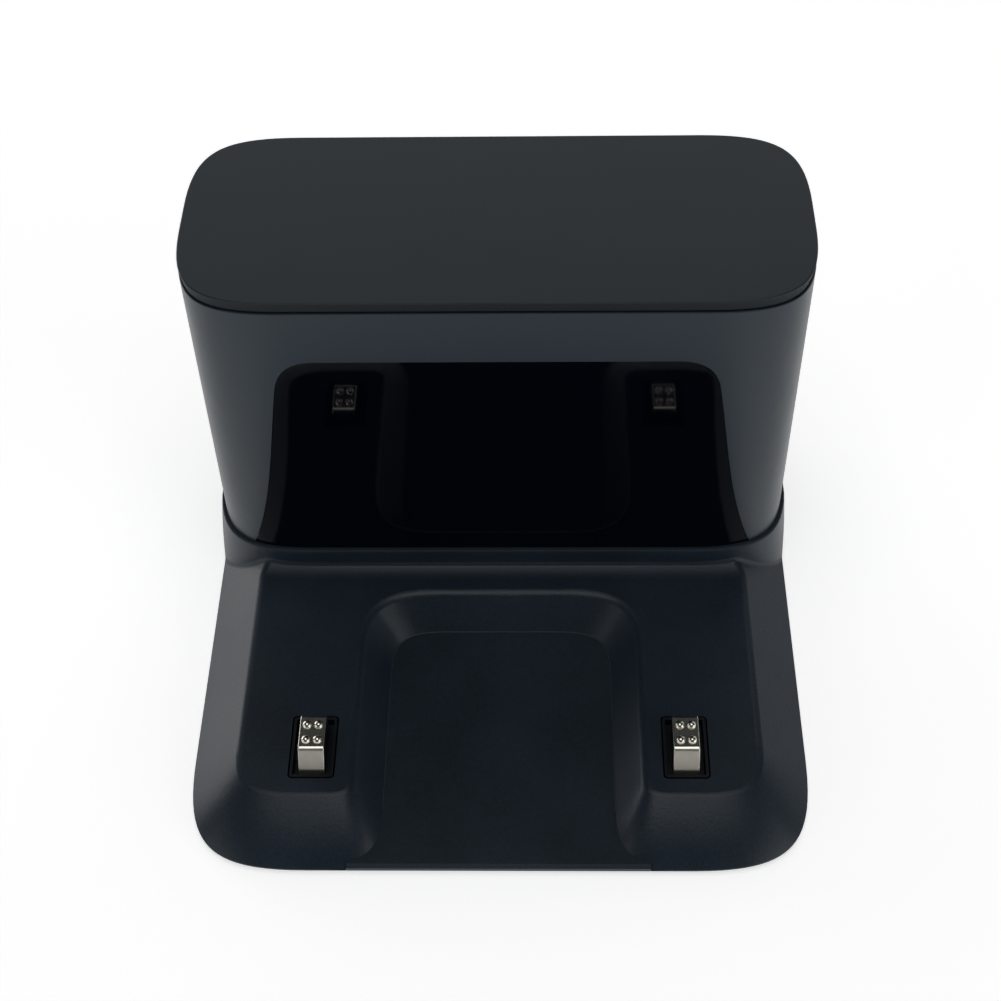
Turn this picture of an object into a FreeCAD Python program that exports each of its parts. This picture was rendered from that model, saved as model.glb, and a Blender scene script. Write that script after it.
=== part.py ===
"""Robot vacuum charging dock: a low base with a caster channel, an upright tower and two sprung contacts.

Millimetres. The origin is on the floor under the middle of the base. The robot comes in from -Y, the tower
stands at +Y, and +Z is up.
"""
import FreeCAD
import Part
import os
from math import asin, cos, hypot, sin, tan

V = FreeCAD.Vector
X_AXIS, Y_AXIS, Z_AXIS = V(1, 0, 0), V(0, 1, 0), V(0, 0, 1)
LEFT, RIGHT = -1, 1

# General
FIT_GAP = 0.2               # between two mouldings that locate each other
OVERRUN = 1.0               # how far a cutting shape passes the face that it opens
NEAR = 1e-3                 # places closer together than this count as one
CORNER_HANDLE = 0.783       # pull of a soft corner: 0.55 is a circle, more is squarer
CORNER_SHRINK = 1.42        # how much a soft corner's reach shrinks for each millimetre of wall

# Base, seen from above
BASE_WIDTH = 130.0
BASE_DEPTH = 126.5
BASE_FRONT_REACH = 25.5     # soft corners of the outline
BASE_WALL = 2.2
SIDE_BEVEL = 10.5           # width of the sloping margins around the deck
FRONT_BEVEL = 13.0
FRONT_BOW = 0.42            # how far the front slope bows out: 0 is flat
BEVEL_SECTIONS = 4          # steps of the lofts that shape the arms
DECK_CORNER_REACH = 12.0
DECK_EDGE_ROUND = 2.5

# Heights of the base
FOOT_PROUD = 1.2            # the plate's underside above the floor
PLATE_THICKNESS = 1.8
RIM_LIFT = 0.4              # the cover's lower edge above the plate's underside
RIM_HEIGHT = 0.4            # upright edge below the bevel
DECK_HEIGHT = 10.0
LEDGE_HEIGHT = 15.0

# Caster channel
ARM_WIDTH = 34.9            # from the base's side to the channel, at the deck
CHANNEL_LENGTH = 65.1       # from the front edge, at the deck
CHANNEL_REACH = 16.0
CHANNEL_SLANT = 6.6         # how far each wall leans in on its way down
CHANNEL_FOOT_REACH = 11.0
NOSE_REACH = 5.0            # inner front corner of an arm, at the deck
NOSE_FOOT_REACH = 13.0      # and at its foot
TONGUE_MARGIN = 0.9         # the channel floor's front lip beyond the channel's sides
TONGUE_GAP = 0.05           # on each side of the lip
LIP_RUN = 0.9               # slope on the lip, for the caster
LIP_DROP = 0.5

# Ledge that carries the tower
LEDGE_MARGIN = 0.7          # around the tower's foot
LEDGE_SPLAY = 2.6           # how far its walls lean out on their way down
LEDGE_CREST_ROUND = 0.35
LEDGE_FOOT_ROUND = 1.2
RAMP_RUN = 4.2              # the deck curves up in front of the ledge
RAMP_RISE = 0.95
LOCATING_RIB = 1.6
LOCATING_HEIGHT = 3.0
WIRE_SLOT = (26.0, 9.0)

# Plate under the base
PLATE_INSET = 3.5           # rim of the cover around the plate
PLATE_EDGE_CHAMFER = 0.4
FOOT_RADIUS = 7.0
FOOT_POCKET = 0.6
FOOT_EDGE_ROUND = 0.5
FRONT_FOOT = (21.0, 19.0)   # in from the side, and in from the front edge
BACK_FOOT = (15.0, 15.5)    # in from the side, and in from the back edge

# Tower
TOWER_DEPTH = 51.85
TOWER_REACH = 22.3
TOWER_WALL = 2.5
OVERALL_HEIGHT = 89.9
TOWER_EDGE_ROUND = 0.25
TOWER_FOOT_CHAMFER = 0.15   # fine seam between the tower and the ledge
LID_THICKNESS = 2.45
LID_UNDERCUT = 0.4          # the lid's side leans in by this on its way down
LID_SHADOW_GAP = 0.35
LID_SHADOW_DEPTH = 0.8
LID_EDGE_ROUND = 0.3
LID_SKIRT_DEPTH = 4.0
LID_SKIRT_WALL = 1.5

# Window in the tower's front: its bell-shaped outline
WINDOW_HEIGHT = 73.9
WINDOW_TOP_INSET = 27.7         # in from the tower's side
WINDOW_SHOULDER_INSET = 18.8
WINDOW_FOOT_INSET = 8.5
WINDOW_SHOULDER_DROP = 8.0
WINDOW_SHOULDER_PULL = 0.62     # roundness of the shoulder: 0.55 is a circle, more is squarer
WINDOW_SHOULDER_SLOPE = 0.17    # sideways for each millimetre down
WINDOW_FOOT_SLOPE = 0.36
WINDOW_THICKNESS = 1.4
WINDOW_RECESS = 0.1
WINDOW_GAP = 0.12
WINDOW_LEDGE = 2.0

# Charging contacts
CONTACT_INSET = (26.1, 24.4)    # in from the side, and in from the front edge
CONTACT_TRAVEL = 3.0
HOLDER_SIZE = (9.1, 14.7)
HOLDER_CORNER = 0.6
HOLDER_WALL = 0.6
HOLDER_FLOOR = 1.0
HOLDER_GAP = 0.35           # dark line between the holder and the deck
HOLDER_FLANGE = 1.8
HOLDER_FLANGE_THICKNESS = 1.2
STRIP_WIDTH = 5.4
STRIP_THICKNESS = 0.5
STRIP_PROUD = 3.8           # its top above the deck
STRIP_FRONT = -2.8          # front bend, along Y from the holder's middle
STRIP_BACK = 5.9            # back bend
STRIP_TOE = -5.7            # foot of the ramp
STRIP_RAMP_DEPTH = 0.15     # foot of the ramp below the deck
STRIP_BEND = 1.2
STRIP_EDGE_ROUND = 0.2
PIP_RADIUS = 1.0
PIP_HEIGHT = 0.8
PIP_SPACING = (2.4, 3.65)
PIP_CENTRE = 1.15           # behind the holder's middle
LUG_SIZE = (1.65, 4.0, 0.8)
LUG_PLAY = 0.1
SPRING_WIRE = 0.45
SPRING_RADIUS = 1.65
SPRING_TURNS = 5
SPRING_POCKET_DEPTH = 3.0
SPRING_POCKET_PLAY = 0.3
TERMINAL_SIZE = (4.6, 9.0)
TERMINAL_THICKNESS = 0.4
TAB_SIZE = (3.0, 6.5)
LEAD_RADIUS = 0.8
LEAD_BEND_SHARE = 0.45      # of the shorter run, taken up by each bend of a lead

# Inside the base and the tower
BALLAST_SIZE = (90.0, 28.0, 6.0)
BALLAST_BACK_INSET = 15.5
PEG_RADIUS = 2.2
PEG_SPREAD = 36.0
PEG_PLAY = 0.2
BOARD_SIZE = (80.0, 36.0)
BOARD_THICKNESS = 1.6
BOARD_FOOT = 15.0           # lower edge of the board above the ledge
BOARD_SETBACK = 14.5        # front of the board behind the tower's front
BOARD_HOLE_INSET = 4.0
SOCKET_SIZE = (5.0, 2.4, 5.5)
SOCKET_SPREAD = 8.0
CHIP_SIZE = (12.0, 1.4, 12.0)
CAPACITOR_RADIUS = 3.2
CAPACITOR_LENGTH = 9.0
STANDOFF = 3.0
FRAME_THICKNESS = 2.0
FRAME_FOOT = (64.0, 9.0, 2.4)
FRAME_WINDOW = (30.0, 15.0)
GUSSET_SPREAD = 28.0
EMITTER_RADIUS = 2.5
EMITTER_LENGTH = 8.2
EMITTER_FLANGE = (2.9, 1.0)
EMITTER_SPREAD = 26.0
EMITTER_HEIGHT = 37.2       # above the ledge
INLET_HEIGHT = 13.8         # above the ledge
INLET_RECESS = (24.0, 11.0, 16.0)
INLET_RECESS_WALL = 2.0
INLET_BODY = (10.0, 11.0, 10.0)
INLET_NOSE_RADIUS = 4.0
INLET_BORE_RADIUS = 3.15
INLET_BORE_DEPTH = 9.5
INLET_PIN_RADIUS = 1.0

# Screws
SCREW_RADIUS = 1.3
SCREW_HEAD_RADIUS = 2.8
SCREW_HEAD_HEIGHT = 1.7
SCREW_HEAD_ROUND = 0.7
SCREW_HOLE_RADIUS = 1.5     # clearance hole
PILOT_PLAY = 0.05           # around the shank in its boss
CROSS_SLOT = (3.4, 0.7, 0.8)
PLATE_SCREW_LENGTH = 5.0
TOWER_SCREW_LENGTH = 11.0
BOARD_SCREW_LENGTH = 4.4
CUP_DEPTH = 2.0             # pocket for a screw head in the plate
CUP_WALL = 1.2
BOSS_RADIUS = 3.6
ARM_SCREW = (19.0, 51.0)    # in from the side, and in from the front edge
REAR_SCREW = (25.0, 8.5)    # in from the side, and in from the back edge
TOWER_BOSS_RADIUS = 4.0
TOWER_BOSS_HEIGHT = 18.0
TOWER_BOSS_SPREAD = 13.0    # fore and aft of the tower's middle
TOWER_BOSS_BITE = 0.8       # how far a boss runs into the tower's wall

# Worked out from the sizes above
SIDE, FRONT, BACK = BASE_WIDTH / 2, -BASE_DEPTH / 2, BASE_DEPTH / 2
RIM_BOTTOM = FOOT_PROUD + RIM_LIFT
BEVEL_FOOT = RIM_BOTTOM + RIM_HEIGHT
FLOOR = FOOT_PROUD + PLATE_THICKNESS
DECK_UNDERSIDE = DECK_HEIGHT - BASE_WALL
LEDGE_UNDERSIDE = LEDGE_HEIGHT - BASE_WALL
CHANNEL_HALF = SIDE - ARM_WIDTH
CHANNEL_BACK = FRONT + CHANNEL_LENGTH
TOWER_SIDE = SIDE - LEDGE_MARGIN
TOWER_BACK = BACK - LEDGE_MARGIN
TOWER_FRONT = TOWER_BACK - TOWER_DEPTH
TOWER_MIDDLE = (TOWER_FRONT + TOWER_BACK) / 2
LEDGE_FRONT = TOWER_FRONT - LEDGE_MARGIN
BASE_BACK_REACH = TOWER_REACH + CORNER_SHRINK * LEDGE_MARGIN
RAMP_TOP = DECK_HEIGHT + 2 * RAMP_RISE
LID_BOTTOM = OVERALL_HEIGHT - LID_THICKNESS
TOWER_TOP = LID_BOTTOM - LID_SHADOW_GAP
CONTACT_X, CONTACT_Y = SIDE - CONTACT_INSET[0], FRONT + CONTACT_INSET[1]
STRIP_TOP = DECK_HEIGHT + STRIP_PROUD
HOLDER_WELL = FLOOR + HOLDER_FLOOR
TERMINAL_TOP = HOLDER_WELL + TERMINAL_THICKNESS
PLUNGER_BOTTOM = TERMINAL_TOP + CONTACT_TRAVEL + FIT_GAP
BOARD_BOTTOM = LEDGE_HEIGHT + BOARD_FOOT
BOARD_FRONT = TOWER_FRONT + BOARD_SETBACK
BOARD_BACK = BOARD_FRONT + BOARD_THICKNESS
FRAME_FRONT = BOARD_BACK + STANDOFF
INLET_Z = LEDGE_HEIGHT + INLET_HEIGHT
INLET_SEAT = TOWER_BACK - INLET_RECESS[1] - INLET_RECESS_WALL
CUP_SEAT = FOOT_PROUD + CUP_DEPTH
CUP_TOP = CUP_SEAT + CUP_WALL
WIRE_SLOT_Y = FRAME_FRONT + FRAME_THICKNESS + FRAME_FOOT[1] + WIRE_SLOT[1] / 2 + FIT_GAP
BALLAST_MIDDLE = BACK - BALLAST_BACK_INSET - BALLAST_SIZE[1] / 2
TOWER_BOSS_X = TOWER_SIDE - TOWER_WALL - TOWER_BOSS_RADIUS + TOWER_BOSS_BITE
TOWER_BOSSES = [(side * TOWER_BOSS_X, TOWER_MIDDLE + end * TOWER_BOSS_SPREAD)
                for side in (LEFT, RIGHT) for end in (-1, 1)]
PLATE_SCREWS = [(side * (SIDE - ARM_SCREW[0]), FRONT + ARM_SCREW[1]) for side in (LEFT, RIGHT)]
PLATE_SCREWS += [(side * (SIDE - REAR_SCREW[0]), BACK - REAR_SCREW[1]) for side in (LEFT, RIGHT)]
BOARD_HOLE_HEIGHTS = (BOARD_BOTTOM + BOARD_HOLE_INSET, BOARD_BOTTOM + BOARD_SIZE[1] - BOARD_HOLE_INSET)
BOARD_HOLES = [(side * (BOARD_SIZE[0] / 2 - BOARD_HOLE_INSET), height)
               for side in (LEFT, RIGHT) for height in BOARD_HOLE_HEIGHTS]


# Shared shapes

def soft_polygon(corners, z):
    """Closed level outline through corners (x, y, reach), each rounded by a soft curve of that reach."""
    ends = []
    for i, (x, y, reach) in enumerate(corners):
        here = V(x, y, z)
        before = V(*corners[i - 1][:2], z)
        after = V(*corners[(i + 1) % len(corners)][:2], z)
        ends.append((here, (here - before).normalize(), (after - here).normalize(), reach))
    edges = []
    for i, (here, inward, outward, reach) in enumerate(ends):
        start, stop = here - inward * reach, here + outward * reach
        if reach:
            pull = reach * (1 - CORNER_HANDLE)
            curve = Part.BezierCurve()
            curve.setPoles([start, here - inward * pull, here + outward * pull, stop])
            edges.append(curve.toShape())
        following = ends[(i + 1) % len(ends)]
        edges.append(Part.makeLine(stop, following[0] - following[1] * following[3]))
    return Part.Wire(edges)


def prism(outline, height):
    """Solid raised from a level outline."""
    return Part.Face(outline).extrude(Z_AXIS * height)


def block(x, y, z):
    """Box between the low and high values of each pair."""
    return Part.makeBox(x[1] - x[0], y[1] - y[0], z[1] - z[0], V(x[0], y[0], z[0]))


def centred_block(x, y, size_x, size_y, z):
    """Box of a given plan size about (x, y), between the heights z."""
    return block((x - size_x / 2, x + size_x / 2), (y - size_y / 2, y + size_y / 2), z)


def rounded_block(x, y, size_x, size_y, corner, z):
    """Upright box with round corners."""
    solid = centred_block(x, y, size_x, size_y, z)
    upright = [edge for edge in solid.Edges if edge.BoundBox.ZLength > edge.BoundBox.DiagonalLength / 2]
    return solid.makeFillet(corner, upright)


def level_edges(solid, z):
    """Edges of a solid that lie in the plane at height z."""
    return [edge for edge in solid.Edges
            if abs(edge.BoundBox.ZMin - z) < NEAR and abs(edge.BoundBox.ZMax - z) < NEAR]


def rod(start, direction, radius, length):
    """Cylinder from a point."""
    return Part.makeCylinder(radius, length, start, direction)


def tube(points, radius):
    """Round wire along straight runs, with an arc at each bend as large as its runs allow."""
    edges = []
    last = points[0]
    for before, here, after in zip(points, points[1:], points[2:]):
        inward, outward = (here - before), (after - here)
        cut = LEAD_BEND_SHARE * min(inward.Length, outward.Length)
        start, stop = here - inward.normalize() * cut, here + outward.normalize() * cut
        bisector = (stop - here) + (start - here)
        half_turn = inward.getAngle(outward) / 2
        bend_radius = cut / tan(half_turn)
        centre_distance = hypot(cut, bend_radius)
        middle = here + bisector.normalize() * (centre_distance - bend_radius)
        edges.append(Part.makeLine(last, start))
        edges.append(Part.Arc(start, middle, stop).toShape())
        last = stop
    edges.append(Part.makeLine(last, points[-1]))
    path = Part.Wire(edges)
    section = Part.Wire(Part.makeCircle(radius, points[0], points[1] - points[0]))
    return path.makePipeShell([section], True, True)


def screw(seat, direction, length):
    """Pan-head screw: its head stands behind the seat and its shank runs along the direction."""
    head = rod(seat - direction * SCREW_HEAD_HEIGHT, direction, SCREW_HEAD_RADIUS, SCREW_HEAD_HEIGHT)
    crown = seat - direction * SCREW_HEAD_HEIGHT
    rim = [edge for edge in head.Edges if edge.BoundBox.Center.distanceToPoint(crown) < NEAR]
    head = head.makeFillet(SCREW_HEAD_ROUND, rim)
    solid = head.fuse(rod(seat, direction, SCREW_RADIUS, length))
    bar, width, depth = CROSS_SLOT
    turn = FreeCAD.Rotation(Z_AXIS, direction)
    for size_x, size_y in ((bar, width), (width, bar)):
        slot = centred_block(0, 0, size_x, size_y, (-OVERRUN, depth))
        slot.Placement = FreeCAD.Placement(crown, turn)
        solid = solid.cut(slot)
    return solid


# Base

def base_outline(z, inset=0.0):
    """Outline of the whole base, drawn in by an inset."""
    half, shrink = SIDE - inset, CORNER_SHRINK * inset
    front, back = BASE_FRONT_REACH - shrink, BASE_BACK_REACH - shrink
    return soft_polygon([(-half, BACK - inset, back), (-half, FRONT + inset, front),
                         (half, FRONT + inset, front), (half, BACK - inset, back)], z)


def slanted(wall, run, rise):
    """Level thickness of a leaning wall."""
    return wall * hypot(run, rise) / rise


def arms_outline(z, wall=0.0):
    """U-shaped outline of the two arms at a height, which ends under the tower, drawn in by a wall."""
    rise = DECK_HEIGHT - BEVEL_FOOT
    share = (z - BEVEL_FOOT) / rise

    def between(foot, top):
        return foot + (top - foot) * share

    side = between(0, SIDE_BEVEL) + slanted(wall, SIDE_BEVEL, rise)
    bowed = (1 - FRONT_BOW) * share + FRONT_BOW * share ** 2
    front = FRONT + bowed * FRONT_BEVEL + slanted(wall, FRONT_BEVEL, rise)
    growth = between(-CHANNEL_SLANT, 0) + slanted(wall, CHANNEL_SLANT, rise)
    half = SIDE - side
    channel_half = CHANNEL_HALF + growth
    channel_back = CHANNEL_BACK + growth
    corner = between(BASE_FRONT_REACH, DECK_CORNER_REACH) - CORNER_SHRINK * wall
    nose = between(NOSE_FOOT_REACH, NOSE_REACH) - CORNER_SHRINK * wall
    bay = between(CHANNEL_FOOT_REACH, CHANNEL_REACH) + CORNER_SHRINK * wall
    back = TOWER_MIDDLE
    return soft_polygon([(-half, back, 0), (-half, front, corner), (-channel_half, front, nose),
                         (-channel_half, channel_back, bay), (channel_half, channel_back, bay),
                         (channel_half, front, nose), (half, front, corner), (half, back, 0)], z)


def arms_loft(bottom, top, wall=0.0):
    """Solid of the two arms between two heights."""
    step = (top - bottom) / BEVEL_SECTIONS
    return Part.makeLoft([arms_outline(bottom + i * step, wall) for i in range(BEVEL_SECTIONS + 1)], True)


def above_deck(top):
    """Everything above the deck, which is level and then curves up under the ledge in an S."""
    radius = (RAMP_RUN ** 2 + RAMP_RISE ** 2) / (2 * RAMP_RISE)
    turn = asin(RAMP_RUN / radius) / 2
    along, up = radius * sin(turn), radius * (1 - cos(turn))
    start, stop = LEDGE_FRONT - RAMP_RUN, LEDGE_FRONT + RAMP_RUN

    def at(y, z):
        return V(-BASE_WIDTH, y, z)

    foot, crest = at(start, DECK_HEIGHT), at(stop, RAMP_TOP)
    middle = at(LEDGE_FRONT, DECK_HEIGHT + RAMP_RISE)
    rise = Part.Arc(foot, at(start + along, DECK_HEIGHT + up), middle)
    ease = Part.Arc(middle, at(stop - along, RAMP_TOP - up), crest)
    border = [crest, at(BACK, RAMP_TOP), at(BACK, top), at(FRONT - OVERRUN, top),
              at(FRONT - OVERRUN, DECK_HEIGHT), foot]
    edges = [rise.toShape(), ease.toShape()]
    edges += [Part.makeLine(start, stop) for start, stop in zip(border, border[1:])]
    return Part.Face(Part.Wire(edges)).extrude(X_AXIS * 2 * BASE_WIDTH)


def ledge_outline(z):
    """Outline of the ledge at a height: wider than the base at its sides and back, where it is trimmed."""
    splay = LEDGE_SPLAY * (LEDGE_HEIGHT - z) / LEDGE_HEIGHT + FIT_GAP
    half, front, back = SIDE + splay, LEDGE_FRONT - splay / 2, BACK + BASE_WALL
    reach = BASE_BACK_REACH + splay
    return soft_polygon([(-half, back, 0), (-half, front, reach),
                         (half, front, reach), (half, back, 0)], z)


def middle_of(edge):
    """Point half way along an edge."""
    return edge.valueAt((edge.FirstParameter + edge.LastParameter) / 2)


def touches(shape, point):
    """Whether a point lies on or in a shape."""
    return shape.distToShape(Part.Vertex(point))[0] < NEAR


def base_form():
    """Solid outer form of the base: bevelled arms, deck, channel and ledge."""
    low, top = RIM_BOTTOM - OVERRUN, RAMP_TOP + OVERRUN
    waste = above_deck(top + OVERRUN)
    arms = arms_loft(low, top).cut(waste)
    deck_edges = []
    for edge in arms.Edges:
        middle = middle_of(edge)
        inner_line = edge.BoundBox.YLength < NEAR and middle.y > CHANNEL_BACK + NEAR
        if not inner_line and touches(waste, middle):
            deck_edges.append(edge)
    arms = arms.makeFillet(DECK_EDGE_ROUND, deck_edges)

    ledge = Part.makeLoft([ledge_outline(low), ledge_outline(LEDGE_HEIGHT)], True, True)
    crest = [edge for edge in level_edges(ledge, LEDGE_HEIGHT) if edge.BoundBox.YMax < BACK]
    ledge = ledge.makeFillet(LEDGE_CREST_ROUND, crest)
    form = arms.fuse(ledge).removeSplitter()
    foot_line = []
    for edge in form.Edges:
        middle = middle_of(edge)
        outside = low + NEAR < middle.z and middle.y < TOWER_MIDDLE - NEAR
        if outside and touches(arms, middle) and touches(ledge, middle):
            foot_line.append(edge)
    form = form.makeFillet(LEDGE_FOOT_ROUND, foot_line)

    envelope = prism(base_outline(RIM_BOTTOM), LEDGE_HEIGHT - RIM_BOTTOM)
    envelope = envelope.makeFillet(LEDGE_CREST_ROUND, level_edges(envelope, LEDGE_HEIGHT))
    return form.common(envelope)


def plate_outline(z, gap):
    """Outline of the plate inside the cover's rim, without its tongue."""
    return base_outline(z, PLATE_INSET + gap)


def plate_form(bottom, top, gap, tongue_gap):
    """Plate with the tongue that floors the channel, drawn in by gaps at its sides."""
    half = CHANNEL_HALF + TONGUE_MARGIN - tongue_gap
    tongue = block((-half, half), (FRONT, FRONT + 2 * BASE_FRONT_REACH), (bottom, top))
    return prism(plate_outline(bottom, gap), top - bottom).fuse(tongue).removeSplitter()


def tower_outline(z, inset=0.0):
    """Outline of the tower, drawn in by an inset."""
    half, reach = TOWER_SIDE - inset, TOWER_REACH - CORNER_SHRINK * inset
    front, back = TOWER_FRONT + inset, TOWER_BACK - inset
    return soft_polygon([(-half, back, reach), (-half, front, reach),
                         (half, front, reach), (half, back, reach)], z)


def make_base_cover():
    low = RIM_BOTTOM - OVERRUN
    keep = prism(base_outline(low, BASE_WALL), LEDGE_HEIGHT)
    under_deck = arms_loft(low, DECK_UNDERSIDE, BASE_WALL).common(keep)
    under_ledge = prism(tower_outline(FLOOR, BASE_WALL - LEDGE_MARGIN), LEDGE_UNDERSIDE - FLOOR)
    cover = base_form().cut(under_deck).cut(under_ledge)

    inner = TOWER_WALL + FIT_GAP
    rib = prism(tower_outline(LEDGE_HEIGHT - BASE_WALL / 2, inner), LOCATING_HEIGHT + BASE_WALL / 2)
    room = prism(tower_outline(LEDGE_UNDERSIDE, inner + LOCATING_RIB), LOCATING_HEIGHT + 2 * BASE_WALL)
    rib = rib.cut(room)
    for x, y in TOWER_BOSSES:
        seat = V(x, y, LEDGE_HEIGHT)
        rib = rib.cut(rod(seat, Z_AXIS, TOWER_BOSS_RADIUS + FIT_GAP, LOCATING_HEIGHT + OVERRUN))
    cover = cover.fuse(rib)

    for (x, y), roof in zip(PLATE_SCREWS, 2 * [DECK_UNDERSIDE] + 2 * [LEDGE_UNDERSIDE]):
        cover = cover.fuse(rod(V(x, y, CUP_TOP), Z_AXIS, BOSS_RADIUS, roof + BASE_WALL / 2 - CUP_TOP))
        pilot = CUP_SEAT + PLATE_SCREW_LENGTH + FIT_GAP - CUP_TOP + OVERRUN
        cover = cover.cut(rod(V(x, y, CUP_TOP - OVERRUN), Z_AXIS, SCREW_RADIUS + PILOT_PLAY, pilot))
    cover = cover.cut(plate_form(low - OVERRUN, FLOOR, 0.0, 0.0))

    through = (LEDGE_UNDERSIDE - OVERRUN, LEDGE_HEIGHT + OVERRUN)
    for x, y in TOWER_BOSSES:
        cover = cover.cut(rod(V(x, y, through[0]), Z_AXIS, SCREW_HOLE_RADIUS, through[1] - through[0]))
    cover = cover.cut(centred_block(0, WIRE_SLOT_Y, *WIRE_SLOT, through))

    for side in (LEFT, RIGHT):
        width, depth = (size + 2 * HOLDER_GAP for size in HOLDER_SIZE)
        opening = rounded_block(side * CONTACT_X, CONTACT_Y, width, depth, HOLDER_CORNER + HOLDER_GAP,
                                (DECK_UNDERSIDE - OVERRUN, DECK_HEIGHT + OVERRUN))
        cover = cover.cut(opening)
    return cover.removeSplitter()


def foot_places():
    """Name, x and y of each rubber foot."""
    for side, side_name in ((LEFT, "left"), (RIGHT, "right")):
        yield "front_" + side_name, side * (SIDE - FRONT_FOOT[0]), FRONT + FRONT_FOOT[1]
        yield "back_" + side_name, side * (SIDE - BACK_FOOT[0]), BACK - BACK_FOOT[1]


def make_bottom_plate():
    plate = plate_form(FOOT_PROUD, FLOOR, FIT_GAP, TONGUE_GAP)
    plate = plate.makeChamfer(PLATE_EDGE_CHAMFER, level_edges(plate, FOOT_PROUD))
    wedge = [V(-SIDE, FRONT, FLOOR - LIP_DROP), V(-SIDE, FRONT + LIP_RUN, FLOOR), V(-SIDE, FRONT, FLOOR)]
    plate = plate.cut(Part.Face(Part.makePolygon(wedge + wedge[:1])).extrude(X_AXIS * BASE_WIDTH))
    cup_radius = SCREW_HEAD_RADIUS + FIT_GAP
    middle = FLOOR - PLATE_THICKNESS / 2
    below = FOOT_PROUD - OVERRUN
    for x, y in PLATE_SCREWS:
        plate = plate.fuse(rod(V(x, y, middle), Z_AXIS, cup_radius + CUP_WALL, CUP_TOP - middle))
        plate = plate.cut(rod(V(x, y, below), Z_AXIS, cup_radius, CUP_SEAT - below))
        plate = plate.cut(rod(V(x, y, below), Z_AXIS, SCREW_HOLE_RADIUS, CUP_TOP - below + OVERRUN))
    for _, x, y in foot_places():
        plate = plate.cut(rod(V(x, y, below), Z_AXIS, FOOT_RADIUS + FIT_GAP / 2, FOOT_POCKET + OVERRUN))
    for side in (LEFT, RIGHT):
        root = V(side * PEG_SPREAD, BALLAST_MIDDLE, FLOOR)
        plate = plate.fuse(rod(root, Z_AXIS, PEG_RADIUS, BALLAST_SIZE[2]))
    return plate.removeSplitter()


def make_foot(x, y):
    foot = rod(V(x, y, 0), Z_AXIS, FOOT_RADIUS, FOOT_PROUD + FOOT_POCKET)
    return foot.makeFillet(FOOT_EDGE_ROUND, level_edges(foot, 0.0))


def make_ballast_plate():
    length, depth, height = BALLAST_SIZE
    plate = centred_block(0, BALLAST_MIDDLE, length, depth, (FLOOR, FLOOR + height))
    for side in (LEFT, RIGHT):
        foot = V(side * PEG_SPREAD, BALLAST_MIDDLE, FLOOR - OVERRUN)
        plate = plate.cut(rod(foot, Z_AXIS, PEG_RADIUS + PEG_PLAY, height + 2 * OVERRUN))
    return plate


# Tower

def window_outline(inset, y):
    """Bell-shaped outline in an upright plane, open below the tower's foot, drawn in by an inset."""
    top, foot = WINDOW_HEIGHT - inset, LEDGE_HEIGHT
    side = TOWER_SIDE - inset
    flat, shoulder, heel = side - WINDOW_TOP_INSET, side - WINDOW_SHOULDER_INSET, side - WINDOW_FOOT_INSET
    shoulder_z = WINDOW_HEIGHT - WINDOW_SHOULDER_DROP - inset
    pull = (shoulder_z - foot) / 3
    round_x = WINDOW_SHOULDER_PULL * (shoulder - flat)
    round_z = WINDOW_SHOULDER_PULL * WINDOW_SHOULDER_DROP
    below = foot - OVERRUN
    half = [
        [(0, top), (flat, top)],
        [(flat, top), (flat + round_x, top),
         (shoulder - WINDOW_SHOULDER_SLOPE * round_z, shoulder_z + round_z), (shoulder, shoulder_z)],
        [(shoulder, shoulder_z), (shoulder + WINDOW_SHOULDER_SLOPE * pull, shoulder_z - pull),
         (heel - WINDOW_FOOT_SLOPE * pull, foot + pull), (heel, foot)],
        [(heel, foot), (heel, below)],
    ]
    edges = []
    for hand in (LEFT, RIGHT):
        for poles in half:
            curve = Part.BezierCurve()
            curve.setPoles([V(hand * x, y, z) for x, z in poles])
            edges.append(curve.toShape())
    edges.append(Part.makeLine(V(-heel, y, below), V(heel, y, below)))
    return Part.Wire(Part.__sortEdges__(edges))


def window_block(inset):
    """Bell-shaped block that reaches through the front half of the tower."""
    start = TOWER_FRONT - OVERRUN
    return Part.Face(window_outline(inset, start)).extrude(Y_AXIS * (TOWER_DEPTH / 2))


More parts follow.
